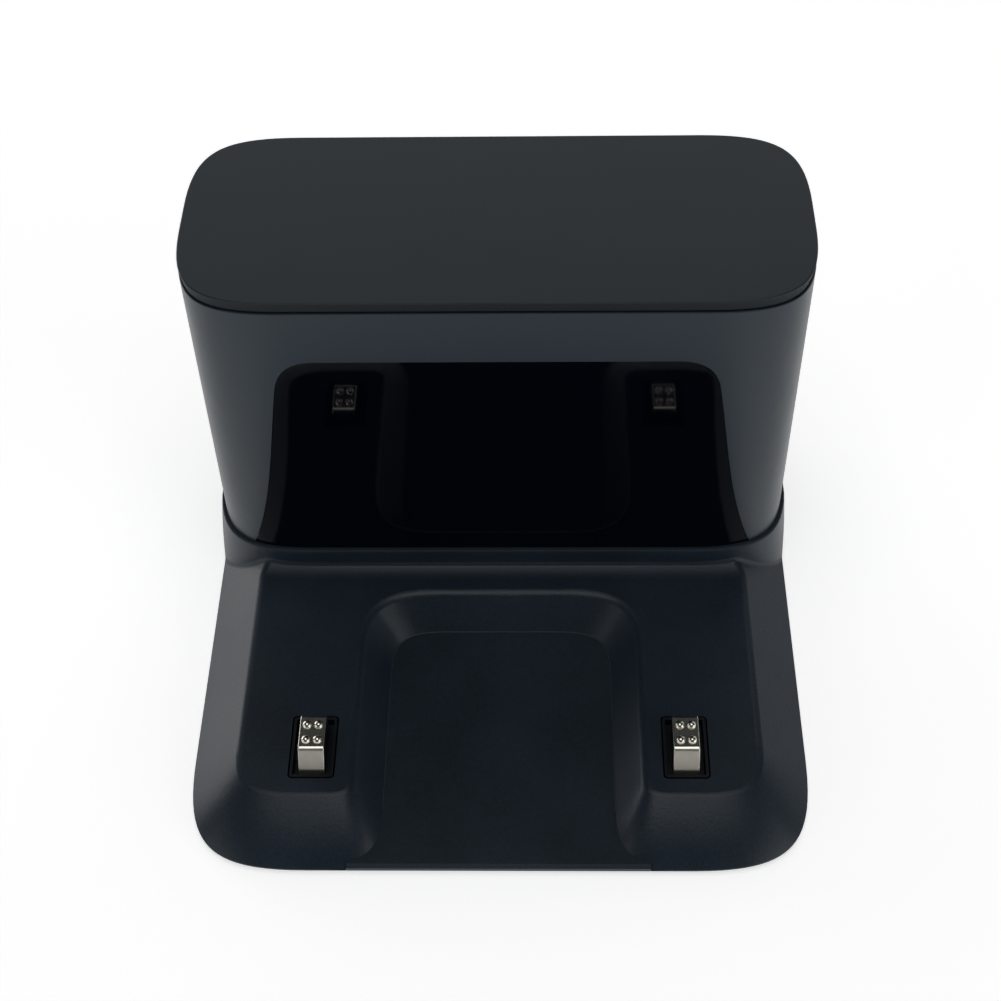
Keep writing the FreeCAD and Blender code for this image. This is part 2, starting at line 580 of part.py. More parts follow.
def make_tower_shell():
    height = TOWER_TOP - LEDGE_HEIGHT
    outer = prism(tower_outline(LEDGE_HEIGHT), height)
    outer = outer.makeFillet(TOWER_EDGE_ROUND, level_edges(outer, TOWER_TOP))
    outer = outer.makeChamfer(TOWER_FOOT_CHAMFER, level_edges(outer, LEDGE_HEIGHT))
    shell = outer.cut(prism(tower_outline(LEDGE_HEIGHT - OVERRUN, TOWER_WALL), height + 2 * OVERRUN))

    rebate = WINDOW_RECESS + WINDOW_THICKNESS
    core = prism(tower_outline(LEDGE_HEIGHT - 2 * OVERRUN, rebate), height)
    shell = shell.cut(window_block(0.0).cut(core)).cut(window_block(WINDOW_LEDGE))

    for x, y in TOWER_BOSSES:
        boss = rod(V(x, y, LEDGE_HEIGHT), Z_AXIS, TOWER_BOSS_RADIUS, TOWER_BOSS_HEIGHT)
        shell = shell.fuse(boss.common(outer))
        pilot = TOWER_SCREW_LENGTH - BASE_WALL + FIT_GAP + OVERRUN
        shell = shell.cut(rod(V(x, y, LEDGE_HEIGHT - OVERRUN), Z_AXIS, SCREW_RADIUS + PILOT_PLAY, pilot))

    width, depth, tall = INLET_RECESS
    wall = INLET_RECESS_WALL
    back = TOWER_BACK - TOWER_WALL / 2
    hood = block((-width / 2 - wall, width / 2 + wall), (INLET_SEAT, back),
                 (INLET_Z - tall / 2 - wall, INLET_Z + tall / 2 + wall))
    recess = block((-width / 2, width / 2), (TOWER_BACK - depth, TOWER_BACK + OVERRUN),
                   (INLET_Z - tall / 2, INLET_Z + tall / 2))
    hole_start = V(0, INLET_SEAT - OVERRUN, INLET_Z)
    nose_hole = rod(hole_start, Y_AXIS, INLET_NOSE_RADIUS + FIT_GAP / 2, wall + 2 * OVERRUN)
    return shell.fuse(hood).cut(recess).cut(nose_hole).removeSplitter()


def make_front_window():
    foot = LEDGE_HEIGHT + WINDOW_GAP
    height = WINDOW_HEIGHT
    skin = prism(tower_outline(foot, WINDOW_RECESS), height)
    core = prism(tower_outline(foot - OVERRUN, WINDOW_RECESS + WINDOW_THICKNESS), height + 2 * OVERRUN)
    return skin.cut(core).common(window_block(WINDOW_GAP))


def make_top_lid():
    outlines = [tower_outline(LID_BOTTOM, LID_UNDERCUT), tower_outline(OVERALL_HEIGHT)]
    lid = Part.makeLoft(outlines, True, True)
    lid = lid.makeFillet(LID_EDGE_ROUND, level_edges(lid, OVERALL_HEIGHT))
    seat = prism(tower_outline(TOWER_TOP, LID_SHADOW_DEPTH), LID_SHADOW_GAP + LID_THICKNESS / 2)
    inner = TOWER_WALL + FIT_GAP
    skirt = prism(tower_outline(TOWER_TOP - LID_SKIRT_DEPTH, inner), LID_SKIRT_DEPTH + LID_SHADOW_GAP)
    hollow = prism(tower_outline(TOWER_TOP - LID_SKIRT_DEPTH - OVERRUN, inner + LID_SKIRT_WALL),
                   LID_SKIRT_DEPTH + LID_SHADOW_GAP + OVERRUN)
    return lid.fuse([seat, skirt]).cut(hollow).removeSplitter()


# Charging contacts

def make_contact_holder(x):
    width, depth = HOLDER_SIZE
    holder = rounded_block(x, CONTACT_Y, width, depth, HOLDER_CORNER, (FLOOR, DECK_HEIGHT))
    flange_size = (size + 2 * HOLDER_FLANGE for size in HOLDER_SIZE)
    flange = rounded_block(x, CONTACT_Y, *flange_size, HOLDER_CORNER,
                           (DECK_UNDERSIDE - HOLDER_FLANGE_THICKNESS, DECK_UNDERSIDE))
    well = centred_block(x, CONTACT_Y, width - 2 * HOLDER_WALL, depth - 2 * HOLDER_WALL,
                         (HOLDER_WELL, DECK_HEIGHT + OVERRUN))
    lug_top = PLUNGER_BOTTOM + LUG_SIZE[2] + LUG_PLAY
    slot = LUG_SIZE[1] + 2 * FIT_GAP
    lug_slots = centred_block(x, CONTACT_Y, width + 2 * OVERRUN, slot, (HOLDER_WELL, lug_top))
    inner_slots = centred_block(x, CONTACT_Y, width, slot, (HOLDER_WELL, lug_top))
    tab_slot = block((x - TAB_SIZE[0] / 2 - FIT_GAP, x + TAB_SIZE[0] / 2 + FIT_GAP),
                     (CONTACT_Y, CONTACT_Y + depth), (HOLDER_WELL, TERMINAL_TOP + FIT_GAP))
    holder = holder.cut(lug_slots).fuse(flange.cut(inner_slots))
    return holder.cut(well).cut(tab_slot).removeSplitter()


def contact_profile(inset, x):
    """Side outline of a contact, from its toe over the ramp and the flat top to its back leg."""
    toe, front, back = (CONTACT_Y + along for along in (STRIP_TOE, STRIP_FRONT, STRIP_BACK))
    knee, top = DECK_HEIGHT - STRIP_RAMP_DEPTH, STRIP_TOP
    rise, run = top - knee, front - toe
    length = hypot(rise, run)
    knee_shift = inset * (length - rise) / run
    crest_shift = inset * (length - run) / rise
    points = [V(x, toe + inset, PLUNGER_BOTTOM), V(x, toe + inset, knee - knee_shift),
              V(x, front + crest_shift, top - inset), V(x, back - inset, top - inset),
              V(x, back - inset, PLUNGER_BOTTOM)]
    return Part.Face(Part.makePolygon(points + points[:1]))


def contact_block(x, inset):
    """Solid of a contact's side outline with its three bends rounded."""
    solid = contact_profile(inset, x - STRIP_WIDTH / 2).extrude(X_AXIS * STRIP_WIDTH)
    bends = [edge for edge in solid.Edges if edge.BoundBox.ZMin > PLUNGER_BOTTOM + NEAR
             and edge.BoundBox.XLength > STRIP_WIDTH / 2]
    return solid.makeFillet(STRIP_BEND - inset, bends)


def make_contact_strip(x):
    outer = contact_block(x, 0.0)
    long_edges = [edge for edge in outer.Edges if edge.BoundBox.XLength < NEAR
                  and edge.BoundBox.ZMax > PLUNGER_BOTTOM + NEAR]
    strip = outer.makeFillet(STRIP_EDGE_ROUND, long_edges).cut(contact_block(x, STRIP_THICKNESS))
    ball = (PIP_RADIUS ** 2 + PIP_HEIGHT ** 2) / (2 * PIP_HEIGHT)
    for across in (-PIP_SPACING[0] / 2, PIP_SPACING[0] / 2):
        for along in (-PIP_SPACING[1] / 2, PIP_SPACING[1] / 2):
            centre = V(x + across, CONTACT_Y + PIP_CENTRE + along, STRIP_TOP + PIP_HEIGHT - ball)
            root = V(centre.x, centre.y, STRIP_TOP - STRIP_THICKNESS / 2)
            above = rod(root, Z_AXIS, 2 * PIP_RADIUS, ball)
            strip = strip.fuse(Part.makeSphere(ball, centre).common(above))
    return strip.removeSplitter()


def make_contact_plunger(x):
    plunger = contact_block(x, STRIP_THICKNESS)
    level = (PLUNGER_BOTTOM, PLUNGER_BOTTOM + LUG_SIZE[2])
    lugs = centred_block(x, CONTACT_Y, STRIP_WIDTH + 2 * LUG_SIZE[0], LUG_SIZE[1], level)
    skirt_size = (size - 2 * (HOLDER_WALL + FIT_GAP) for size in HOLDER_SIZE)
    skirt = centred_block(x, CONTACT_Y, *skirt_size, level).cut(contact_block(x, 0.0))
    pocket_radius = SPRING_RADIUS + SPRING_WIRE / 2 + SPRING_POCKET_PLAY
    mouth = V(x, CONTACT_Y, PLUNGER_BOTTOM - OVERRUN)
    pocket = rod(mouth, Z_AXIS, pocket_radius, SPRING_POCKET_DEPTH + OVERRUN)
    return plunger.fuse([lugs, skirt]).cut(pocket).removeSplitter()


def make_contact_spring(x):
    bottom, top = TERMINAL_TOP + SPRING_WIRE / 2, PLUNGER_BOTTOM + SPRING_POCKET_DEPTH - SPRING_WIRE / 2
    height = top - bottom
    helix = Part.makeHelix(height / SPRING_TURNS, height, SPRING_RADIUS)
    section = Part.Wire(Part.makeCircle(SPRING_WIRE / 2, V(SPRING_RADIUS, 0, 0), Y_AXIS))
    spring = Part.Wire(helix).makePipeShell([section], True, True)
    spring.translate(V(x, CONTACT_Y, bottom))
    return spring


def make_contact_terminal(x):
    pad = centred_block(x, CONTACT_Y, *TERMINAL_SIZE, (HOLDER_WELL, TERMINAL_TOP))
    start = CONTACT_Y + TERMINAL_SIZE[1] / 2
    tab = block((x - TAB_SIZE[0] / 2, x + TAB_SIZE[0] / 2), (start, start + TAB_SIZE[1]),
                (HOLDER_WELL, TERMINAL_TOP))
    return pad.fuse(tab).removeSplitter()


# Inside the tower

def socket_places():
    """X of the three wire sockets on the back of the board: left contact, inlet, right contact."""
    return (-SOCKET_SPREAD, 0.0, SOCKET_SPREAD)


def make_control_board():
    half = BOARD_SIZE[0] / 2
    top = BOARD_BOTTOM + BOARD_SIZE[1]
    board = block((-half, half), (BOARD_FRONT, BOARD_BACK), (BOARD_BOTTOM, top))
    through = BOARD_THICKNESS + 2 * OVERRUN
    for x, z in BOARD_HOLES:
        board = board.cut(rod(V(x, BOARD_FRONT - OVERRUN, z), Y_AXIS, SCREW_HOLE_RADIUS, through))
    size_x, size_y, size_z = SOCKET_SIZE
    for x in socket_places():
        board = board.fuse(block((x - size_x / 2, x + size_x / 2), (BOARD_BACK, BOARD_BACK + size_y),
                                 (BOARD_BOTTOM, BOARD_BOTTOM + size_z)))
    chip_x, chip_y, chip_z = CHIP_SIZE
    chip_bottom = BOARD_BOTTOM + BOARD_HOLE_INSET
    board = board.fuse(block((-chip_x / 2, chip_x / 2), (BOARD_FRONT - chip_y, BOARD_FRONT),
                             (chip_bottom, chip_bottom + chip_z)))
    capacitor = V(chip_x + CAPACITOR_RADIUS, BOARD_FRONT, chip_bottom + chip_z / 2)
    return board.fuse(rod(capacitor, -Y_AXIS, CAPACITOR_RADIUS, CAPACITOR_LENGTH)).removeSplitter()


def make_emitter(x):
    z = LEDGE_HEIGHT + EMITTER_HEIGHT
    straight = EMITTER_LENGTH - EMITTER_RADIUS
    barrel = rod(V(x, BOARD_FRONT, z), -Y_AXIS, EMITTER_RADIUS, straight)
    dome = Part.makeSphere(EMITTER_RADIUS, V(x, BOARD_FRONT - straight, z))
    flange = rod(V(x, BOARD_FRONT, z), -Y_AXIS, *EMITTER_FLANGE)
    return barrel.fuse([dome, flange]).removeSplitter()


def make_board_frame():
    half = BOARD_SIZE[0] / 2
    foot_x, foot_y, foot_z = FRAME_FOOT
    top = BOARD_BOTTOM + BOARD_SIZE[1]
    back = FRAME_FRONT + FRAME_THICKNESS
    frame = block((-half, half), (FRAME_FRONT, back), (LEDGE_HEIGHT, top))
    window_x, window_z = FRAME_WINDOW
    frame = frame.cut(block((-window_x / 2, window_x / 2), (FRAME_FRONT - OVERRUN, back + OVERRUN),
                            (LEDGE_HEIGHT + foot_z, LEDGE_HEIGHT + foot_z + window_z)))
    frame = frame.fuse(block((-foot_x / 2, foot_x / 2), (FRAME_FRONT, back + foot_y),
                             (LEDGE_HEIGHT, LEDGE_HEIGHT + foot_z)))
    for side in (LEFT, RIGHT):
        low = LEDGE_HEIGHT + foot_z / 2
        start = side * GUSSET_SPREAD - FRAME_THICKNESS / 2
        corners = [V(start, back - FRAME_THICKNESS / 2, low), V(start, back + foot_y, low),
                   V(start, back - FRAME_THICKNESS / 2, top)]
        gusset = Part.Face(Part.makePolygon(corners + corners[:1]))
        frame = frame.fuse(gusset.extrude(X_AXIS * FRAME_THICKNESS))
    for x, z in BOARD_HOLES:
        frame = frame.fuse(rod(V(x, BOARD_BACK, z), Y_AXIS, BOSS_RADIUS, STANDOFF + FRAME_THICKNESS / 2))
        frame = frame.cut(rod(V(x, BOARD_BACK - OVERRUN, z), Y_AXIS, SCREW_RADIUS + PILOT_PLAY,
                              BOARD_SCREW_LENGTH - BOARD_THICKNESS + FIT_GAP + OVERRUN))
    return frame.removeSplitter()


def make_power_inlet():
    size_x, size_y, size_z = INLET_BODY
    body = block((-size_x / 2, size_x / 2), (INLET_SEAT - size_y, INLET_SEAT),
                 (INLET_Z - size_z / 2, INLET_Z + size_z / 2))
    nose = rod(V(0, INLET_SEAT, INLET_Z), Y_AXIS, INLET_NOSE_RADIUS, INLET_RECESS_WALL)
    mouth = INLET_SEAT + INLET_RECESS_WALL
    bore = rod(V(0, mouth + OVERRUN, INLET_Z), -Y_AXIS, INLET_BORE_RADIUS, INLET_BORE_DEPTH + OVERRUN)
    pin_root = V(0, mouth - INLET_BORE_DEPTH - OVERRUN, INLET_Z)
    pin = rod(pin_root, Y_AXIS, INLET_PIN_RADIUS, INLET_BORE_DEPTH)
    return body.fuse(nose).cut(bore).fuse(pin).removeSplitter()


def lead_rise(x):
    """Points of a wire that passes through the frame's window and turns up into its socket."""
    wire_y = BOARD_BACK + SOCKET_SIZE[1] / 2
    level = LEDGE_HEIGHT + FRAME_FOOT[2] + FRAME_WINDOW[1] / 2
    return [V(x, wire_y, level), V(x, wire_y, BOARD_BOTTOM)]


def make_inlet_lead():
    rise = lead_rise(0.0)
    start = V(0, INLET_SEAT - INLET_BODY[1], INLET_Z)
    return tube([start, V(0, rise[0].y, INLET_Z), rise[1]], LEAD_RADIUS)


def make_contact_lead(side):
    x = side * CONTACT_X
    rise = lead_rise(side * SOCKET_SPREAD)
    tab_end = CONTACT_Y + TERMINAL_SIZE[1] / 2 + TAB_SIZE[1]
    level = TERMINAL_TOP + LEAD_RADIUS
    over = FLOOR + BALLAST_SIZE[2] + 2 * LEAD_RADIUS
    ballast_front = BALLAST_MIDDLE - BALLAST_SIZE[1] / 2
    points = [V(x, tab_end - TAB_SIZE[1] / 2, level), V(x, LEDGE_FRONT + BASE_WALL / 2, level),
              V(x, ballast_front, over), V(rise[0].x, WIRE_SLOT_Y, over),
              V(rise[0].x, WIRE_SLOT_Y, rise[0].z)]
    return tube(points + rise, LEAD_RADIUS)


# Fasteners

def make_plate_screws():
    return [screw(V(x, y, CUP_SEAT), Z_AXIS, PLATE_SCREW_LENGTH) for x, y in PLATE_SCREWS]


def make_tower_screws():
    return [screw(V(x, y, LEDGE_UNDERSIDE), Z_AXIS, TOWER_SCREW_LENGTH) for x, y in TOWER_BOSSES]


def make_board_screws():
    return [screw(V(x, BOARD_FRONT, z), Y_AXIS, BOARD_SCREW_LENGTH) for x, z in BOARD_HOLES]


def make_pieces():
    """Every piece of the dock, by name."""
    pieces = {
        "base_cover": make_base_cover(),
        "bottom_plate": make_bottom_plate(),
        "tower_shell": make_tower_shell(),
        "front_window": make_front_window(),
        "top_lid": make_top_lid(),
        "ballast_plate": make_ballast_plate(),
        "control_board": make_control_board(),
        "board_frame": make_board_frame(),
        "power_inlet": make_power_inlet(),
        "inlet_lead": make_inlet_lead(),
        "plate_screws": Part.makeCompound(make_plate_screws()),
        "tower_screws": Part.makeCompound(make_tower_screws()),
        "board_screws": Part.makeCompound(make_board_screws()),
    }
    for place, x, y in foot_places():
        pieces["foot_" + place] = make_foot(x, y)
    for name, share in (("left", LEFT), ("centre", 0), ("right", RIGHT)):
        pieces["emitter_" + name] = make_emitter(share * EMITTER_SPREAD)
    for name, side in (("left", LEFT), ("right", RIGHT)):
        x = side * CONTACT_X
        pieces["contact_holder_" + name] = make_contact_holder(x)
        pieces["contact_plunger_" + name] = make_contact_plunger(x)
        pieces["contact_strip_" + name] = make_contact_strip(x)
        pieces["contact_spring_" + name] = make_contact_spring(x)
        pieces["contact_terminal_" + name] = make_contact_terminal(x)
        pieces["contact_lead_" + name] = make_contact_lead(side)
    return pieces


os.makedirs("parts", exist_ok=True)
for node, shape in make_pieces().items():
    shape.exportStep("parts/" + node + ".step")
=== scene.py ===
"""Looks of the robot vacuum charging dock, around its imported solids. Metres; the robot comes in from -Y."""
import math

import bpy
from mathutils import Matrix, Vector


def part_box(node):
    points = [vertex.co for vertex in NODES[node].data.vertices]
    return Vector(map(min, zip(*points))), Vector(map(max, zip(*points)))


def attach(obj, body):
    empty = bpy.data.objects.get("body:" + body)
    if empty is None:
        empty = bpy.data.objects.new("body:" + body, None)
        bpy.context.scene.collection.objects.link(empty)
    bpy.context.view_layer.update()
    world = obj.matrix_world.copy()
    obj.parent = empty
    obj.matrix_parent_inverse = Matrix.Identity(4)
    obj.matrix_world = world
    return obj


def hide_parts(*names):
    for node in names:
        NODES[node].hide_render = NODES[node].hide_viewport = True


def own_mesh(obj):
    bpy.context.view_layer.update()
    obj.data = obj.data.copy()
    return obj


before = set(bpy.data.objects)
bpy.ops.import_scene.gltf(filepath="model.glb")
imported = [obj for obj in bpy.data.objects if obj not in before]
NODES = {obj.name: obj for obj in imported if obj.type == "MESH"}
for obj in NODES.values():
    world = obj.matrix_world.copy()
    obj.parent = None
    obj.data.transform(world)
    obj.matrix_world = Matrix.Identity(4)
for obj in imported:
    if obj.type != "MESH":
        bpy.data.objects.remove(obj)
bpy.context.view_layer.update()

MM = 0.001
LEFT_AND_RIGHT = ("left", "right")

# Camera, as the photograph was taken
CAMERA_PLACE = (8.46 * MM, -241.95 * MM, 325.6 * MM)
CAMERA_PITCH = 49.33            # degrees below the horizon
CAMERA_YAW = -1.90              # degrees to the right of +Y
CAMERA_ROLL = -1.56             # degrees, turned against the clock
CAMERA_LENS = 63.93             # millimetres
CAMERA_SENSOR = 36.0            # millimetres
CAMERA_RANGE = (0.01, 40.0)     # nearest and farthest that it sees

# Studio
FLOOR_REACH = 12.0
FLOOR_TONE = 0.85
FLOOR_ROUGHNESS = 0.9
FLOOR_GLOW = 0.63               # the floor is a light table
FLOOR_FADE = (0.6, 1.5)         # distances between which the glow makes up for the lamps that stay behind
FAR_GLOW = 1.55                 # of the floor far out, as a multiple
ROOM_LIGHT = 0.03               # of the dim ceiling
WALL_LIGHT = 0.23               # of the pale walls around the table
WALL_TOP = (0.26, 0.42)         # heights of the view, as sines, between which the walls end
HORIZON_LIGHT = 1.0             # of the white strip where the walls meet the floor
HORIZON_TOP = (0.025, 0.050)    # heights of the view, as sines, between which that strip ends
SOFTBOXES = {                   # place, point aimed at, width, height and brightness
    "overhead_softbox": ((0.0, -0.16, 1.20), (0.0, 0.0, 0.0), 0.80, 0.80, 1.70),
    "back_panel": ((0.0, 1.10, 0.76), (0.0, 0.0, 0.05), 1.8, 0.85, 0.70),
    "left_panel": ((-1.0, 0.72, 0.20), (0.0, 0.0, 0.02), 0.9, 0.45, 2.6),
    "right_softbox": ((1.05, -0.65, 0.45), (0.0, 0.0, 0.0), 1.1, 0.55, 1.6),
    "left_softbox": ((-1.10, -0.60, 0.45), (0.0, 0.0, 0.0), 1.0, 0.42, 1.1),
}

# Moulded plastics
PLASTICS = {                    # dark colour, light colour, roughness, grain's size and depth in millimetres
    "housing_plastic": ((0.0125, 0.0222, 0.0325, 1), (0.0155, 0.0276, 0.0395, 1), 0.36, 0.30, 0.010),
    "lid_plastic": ((0.0105, 0.0195, 0.0280, 1), (0.0130, 0.0243, 0.0345, 1), 0.36, 0.30, 0.010),
    "base_plastic": ((0.0092, 0.0157, 0.0237, 1), (0.0174, 0.0297, 0.0448, 1), 0.36, 0.55, 0.035),
    "underside_plastic": ((0.0092, 0.0157, 0.0237, 1), (0.0174, 0.0297, 0.0448, 1), 0.38, 0.55, 0.030),
    "holder_plastic": ((0.0030, 0.0045, 0.0075, 1), (0.0050, 0.0070, 0.0110, 1), 0.38, 0.25, 0.006),
    "inner_plastic": ((0.014, 0.014, 0.015, 1), (0.022, 0.022, 0.023, 1), 0.45, 0.40, 0.010),
    "lead_insulation": ((0.010, 0.010, 0.010, 1), (0.020, 0.020, 0.020, 1), 0.50, 0.50, 0.010),
    # lighter than the base plastic: a painted highlight for the bead around the channel's floor
    "seam_highlight_plastic": ((0.030, 0.037, 0.045, 1), (0.036, 0.044, 0.053, 1), 0.30, 0.30, 0.004),
}
PLASTIC_IOR = 1.5
PLASTIC_SHEEN = 0.32            # how strongly the plastics mirror the room
CLOUD_SIZE = 18 * MM            # of the slow changes in tone and gloss
CLOUD_SHARE = 0.4               # of these changes in the tone; the rest is grain
GLOSS_SWING = 0.03              # of the roughness, up and down
DULL_ROUGHNESS = 0.35           # added where the gloss is gone
LEDGE_CREST = (14.3 * MM, 14.7 * MM)    # heights between which the ledge around the tower's foot turns dull
LID_EDGE = (89.75 * MM, 89.55 * MM)     # heights between which the lid's edge turns dull and takes painted shade
LID_EDGE_PAINTED_SHADE = 0.6            # share of its colour that this edge loses: painted shade on the lid's side
NOISE_CORE = (0.3, 0.7)         # where most of a noise lies

# Other finishes: colours, and roughness from and to
WINDOW_TINT = ((0.0002, 0.0006, 0.0022, 1), (0.0004, 0.0012, 0.0036, 1))
WINDOW_POLISH = (0.03, 0.055)
WINDOW_HAZE = (0.35, 0.75)      # part of the noise that dims the polish
NICKEL = ((0.68, 0.65, 0.57, 1), (0.80, 0.77, 0.69, 1))
NICKEL_POLISH = (0.40, 0.15)    # on the ramp and on top
SCUFF_ROUGHNESS = 0.10
RAMP_CREST = (-42.3 * MM, -41.3 * MM)   # along Y, where the contacts' ramps turn into their tops
ZINC = ((0.40, 0.41, 0.43, 1), (0.60, 0.61, 0.63, 1))
ZINC_POLISH = (0.28, 0.45)
RUBBER = ((0.012, 0.012, 0.012, 1), (0.026, 0.026, 0.026, 1))
RUBBER_IOR = 1.45
RUBBER_DULLNESS = (0.70, 0.88)
GRIP_SPACING = 1.6 * MM         # between the grooves in the rubber feet
GRIP_SHOULDER = (0.1, 0.5)      # part of the ring texture that is a groove's flank
GRIP_DEPTH = 0.2 * MM
WAVE_PERIOD = math.pi / 10      # of the ring texture, at a scale of 1
PEBBLE_SHARE = 0.15             # of the grooves' depth
SOCKET_BLACK = ((0.010, 0.010, 0.010, 1), (0.018, 0.018, 0.018, 1))
SOCKET_ROUGHNESS = 0.45
PIN = (0.70, 0.67, 0.60, 1)
PIN_ROUGHNESS = 0.20
PIN_RADIUS = 1.0 * MM           # in the middle of the power inlet
PIN_EDGE = 1.2                  # where the pin's colour ends, as a multiple of its radius
RESIN = ((0.020, 0.012, 0.035, 1), (0.045, 0.030, 0.070, 1))
RESIN_IOR = 1.54
RESIN_POLISH = (0.08, 0.14)
MASK_AND_TRACK = ((0.010, 0.070, 0.030, 1), (0.030, 0.140, 0.060, 1))
MASK_ROUGHNESS = 0.42
TRACK_SHINE = 0.12              # how much smoother the tracks are
TRACK_WIDTH = 0.25 * MM
TRACK_PITCH = (9 * MM, 3 * MM)
TRACK_HEIGHT = 0.035 * MM

# Bead around the channel's floor, in a plastic lighter than the base: a painted highlight line
SEAM_FOOT = (24.3 * MM, -3.9 * MM, -50.0 * MM, 3.0 * MM)    # half width, back, front and height
SEAM_REACH = 11.6 * MM          # of its soft back corners
SEAM_PULL = 0.783               # how square these corners are: 0.55 is a circle
SEAM_RADIUS = 0.14 * MM
SEAM_FACETS = 3                 # in a quarter of its section
SEAM_STEPS = 16                 # along each of its runs
STRAIGHT_HANDLE = 1 / 3         # of a straight run

# Springs under the contacts
SPRING_WIRE = 0.45 * MM
SPRING_TURNS = 5
SPRING_FACETS = 10              # around the wire
SPRING_STEPS = 28               # along each turn


class Value:
    """A shader socket for use in sums: arithmetic on it adds the Math nodes to its material."""

    def __init__(self, tree, socket=None):
        self.tree = tree
        self.socket = socket

    def node(self, kind, settings=None, sockets=None, output=0):
        """Adds a node of any type: its settings are set first, then the values or links of its sockets."""
        made = self.tree.nodes.new("ShaderNode" + kind)
        for name, setting in (settings or {}).items():
            setattr(made, name, setting)
        for name, given in (sockets or {}).items():
            self.plug(given, made.inputs[name])
        return Value(self.tree, made.outputs[output])

    def plug(self, given, socket):
        """Links a value to a socket, or sets a plain number or colour on it."""
        if isinstance(given, Value):
            self.tree.links.new(given.socket, socket)
        else:
            socket.default_value = given

    def sum(self, operation, first, second):
        """One step of arithmetic."""
        return self.node("Math", {"operation": operation}, {0: first, 1: second})

    def __add__(self, other):
        return self.sum("ADD", self, other)

    def __radd__(self, other):
        return self.sum("ADD", other, self)

    def __sub__(self, other):
        return self.sum("SUBTRACT", self, other)

    def __rsub__(self, other):
        return self.sum("SUBTRACT", other, self)

    def __mul__(self, other):
        return self.sum("MULTIPLY", self, other)

    def __rmul__(self, other):
        return self.sum("MULTIPLY", other, self)


def grey(level):
    return (level, level, level, 1.0)


def new_finish(name, **constants):
    """A material with fixed shader values; returns it, its shader and a value to start sums from."""
    material = bpy.data.materials.new(name)
    material.use_nodes = True
    shader = material.node_tree.nodes["Principled BSDF"]
    for socket, constant in constants.items():
        shader.inputs[socket.replace("_", " ")].default_value = constant
    return material, shader, Value(material.node_tree)


def place_on(start):
    """Object coordinates, which are the shared frame in metres."""
    return start.node("TexCoord", output="Object")


def coordinate(start, place, axis):
    """One coordinate of a place."""
    return start.node("SeparateXYZ", None, {0: place}, output=axis)


def noise(start, place, size, detail=2.0, roughness=0.5):
    """Noise from 0 to 1 with features of about the given size in metres."""
    return start.node("TexNoise", {"noise_dimensions": "3D"},
                      {"Vector": place, "Scale": 1 / size, "Detail": detail, "Roughness": roughness})


def spread(start, value, low, high, to_low, to_high):
    """Carries a value from one range to another, held at the ends."""
    return start.node("MapRange", {"clamp": True}, {0: value, 1: low, 2: high, 3: to_low, 4: to_high})


def mix(start, share, first, second):
    """Colour between two colours."""
    return start.node("Mix", {"data_type": "RGBA"}, {0: share, 6: first, 7: second}, output=2)


def bump(start, height, depth):
    """Normal of a surface with the given relief in metres."""
    return start.node("Bump", None, {"Height": height, "Distance": depth, "Strength": 1.0})


def dress(material, *names):
    """Puts a finish on CAD nodes."""
    for name in names:
        NODES[name].material_slots[0].material = material


def moulded_plastic(name, dull_and_shade_heights=None, painted_shade=0.0):
    """Moulded plastic with an eroded mould grain, a slight cloudiness and uneven gloss.

    Past the second of two given heights the gloss is gone and the colour loses the given share as painted
    shade.
    """
    dark, light, gloss, grain_size, grain_depth = PLASTICS[name]
    material, shader, start = new_finish(name, IOR=PLASTIC_IOR, Specular_IOR_Level=PLASTIC_SHEEN)
    place = place_on(start)
    grain = noise(start, place, size=grain_size * MM, detail=3.0, roughness=0.6)
    cloud = noise(start, place, size=CLOUD_SIZE, detail=3.0)
    tone = spread(start, CLOUD_SHARE * cloud + (1 - CLOUD_SHARE) * grain, *NOISE_CORE, 0.0, 1.0)
    colour = mix(start, tone, dark, light)
    roughness = spread(start, cloud, *NOISE_CORE, gloss - GLOSS_SWING, gloss + GLOSS_SWING)
    if dull_and_shade_heights:
        dull_and_painted_shade = spread(start, coordinate(start, place, "Z"), *dull_and_shade_heights, 0.0, 1.0)
        # painted shade: past the given heights the colour darkens by the given share
        colour = mix(start, painted_shade * dull_and_painted_shade, colour, grey(0.0))
        roughness = roughness + DULL_ROUGHNESS * dull_and_painted_shade
    start.plug(colour, shader.inputs["Base Color"])
    start.plug(roughness, shader.inputs["Roughness"])
    start.plug(bump(start, grain, depth=grain_depth * MM), shader.inputs["Normal"])
    return material


def polished_window():
    """Black infrared-passing panel, polished like a mirror."""
    material, shader, start = new_finish("window_gloss", IOR=PLASTIC_IOR)
    haze = noise(start, place_on(start), size=25 * MM, detail=4.0)
    start.plug(mix(start, haze, *WINDOW_TINT), shader.inputs["Base Color"])
    start.plug(spread(start, haze, *WINDOW_HAZE, *WINDOW_POLISH), shader.inputs["Roughness"])
    return material


def nickel_plate():
    """Nickel-plated strip: bright on top, rubbed matte on the ramp that the robot slides over."""
    material, shader, start = new_finish("contact_nickel", Metallic=1.0)
    place = place_on(start)
    tarnish = noise(start, place, size=1.6 * MM, detail=4.0)
    scuffs = noise(start, place, size=0.25 * MM, detail=3.0)
    start.plug(mix(start, tarnish, *NICKEL), shader.inputs["Base Color"])
    polish = spread(start, coordinate(start, place, "Y"), *RAMP_CREST, *NICKEL_POLISH)
    start.plug(polish + SCUFF_ROUGHNESS * scuffs, shader.inputs["Roughness"])
    start.plug(bump(start, scuffs, depth=0.002 * MM), shader.inputs["Normal"])
    return material


def zinc_steel():
    """Zinc-plated steel with a soft spangle."""
    material, shader, start = new_finish("steel_zinc", Metallic=1.0)
    spangle = noise(start, place_on(start), size=0.8 * MM, detail=4.0)
    start.plug(mix(start, spangle, *ZINC), shader.inputs["Base Color"])
    start.plug(spread(start, spangle, *NOISE_CORE, *ZINC_POLISH), shader.inputs["Roughness"])
    return material


